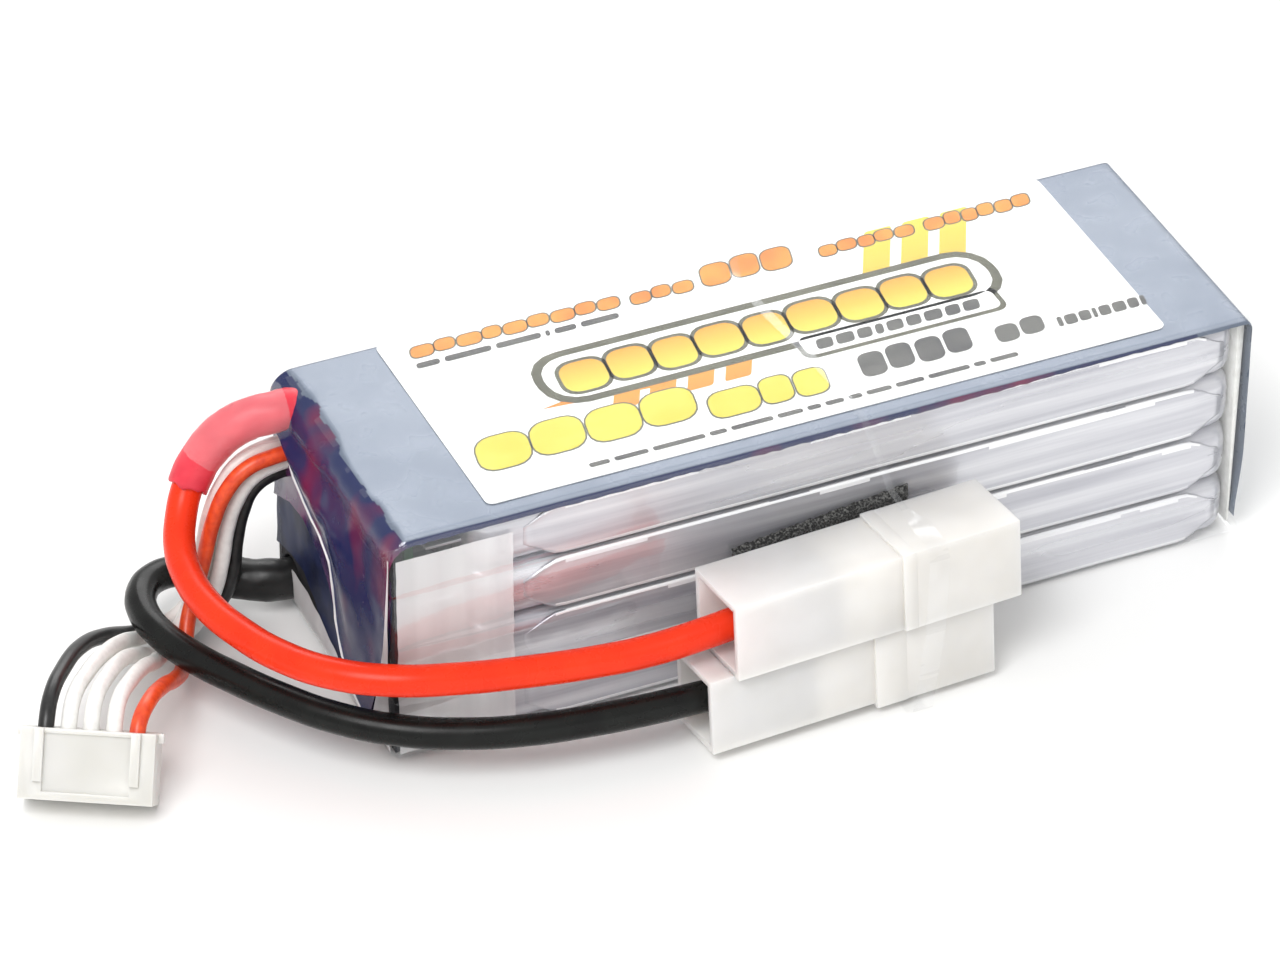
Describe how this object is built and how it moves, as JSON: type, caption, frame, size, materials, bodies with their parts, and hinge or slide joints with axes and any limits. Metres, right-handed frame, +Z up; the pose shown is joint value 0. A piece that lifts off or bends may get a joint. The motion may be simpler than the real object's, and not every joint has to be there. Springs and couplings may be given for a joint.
{
  "type": "lithium polymer battery pack",
  "caption": "Lithium polymer battery pack in blue film and clear shrink wrap, with red and black discharge leads, a power plug and a balance plug.",
  "frame": {"origin": "middle of the underside of the wrapped cell stack", "axes": "+X along the pack from the end with the leads towards the closed end, +Y away from the side where the power plug lies, +Z up through the label"},
  "size_m": [0.146, 0.0537, 0.0302],
  "materials": {
    "pouch_foil": "satin pouch foil",
    "adhesive": "matte",
    "tab_aluminium": "satin",
    "tab_nickel": "satin",
    "board": "satin lacquer",
    "solder": "satin",
    "insulator_paper": "matte",
    "dark_foam": "matte",
    "blue_film": "glossy film",
    "label": "glossy printed film",
    "frosted_tape": "frosted, translucent",
    "clear_film": "clear and glossy",
    "crimson_sleeve": "satin",
    "black_sleeve": "satin",
    "red_silicone": "satin silicone",
    "black_silicone": "satin silicone",
    "black_wire": "satin",
    "white_wire": "satin",
    "red_wire": "satin",
    "white_nylon": "satin nylon",
    "contact_brass": "satin",
    "clear_nylon": "translucent satin nylon",
    "socket_brass": "satin",
    "black_pile": "fuzzy pile"
  },
  "bodies": {
    "root": {"cell_1": "pouch_foil", "cell_2": "pouch_foil", "cell_3": "pouch_foil", "cell_4": "pouch_foil", "cell_adhesive_pads": "adhesive", "positive_tabs": "tab_aluminium", "negative_tabs": "tab_nickel", "tab_board": "board", "solder_joints": "solder", "board_insulator": "insulator_paper", "front_end_pad": "dark_foam", "rear_end_pad": "adhesive", "blue_film": "blue_film", "label": "label", "side_tape": "frosted_tape", "shrink_wrap": "clear_film", "positive_lead_sleeve": "crimson_sleeve", "negative_lead_sleeve": "black_sleeve", "positive_lead": "red_silicone", "negative_lead": "black_silicone", "balance_wire_1": "black_wire", "balance_wire_2": "white_wire", "balance_wire_3": "white_wire", "balance_wire_4": "white_wire", "balance_wire_5": "red_wire", "balance_plug_housing": "white_nylon", "balance_plug_contacts": "contact_brass", "power_plug_upper_shell": "clear_nylon", "power_plug_lower_shell": "clear_nylon", "positive_socket": "socket_brass", "negative_socket": "socket_brass", "retaining_band": "clear_film", "hook_and_loop_patch": "black_pile"}
  },
  "joints": []
}
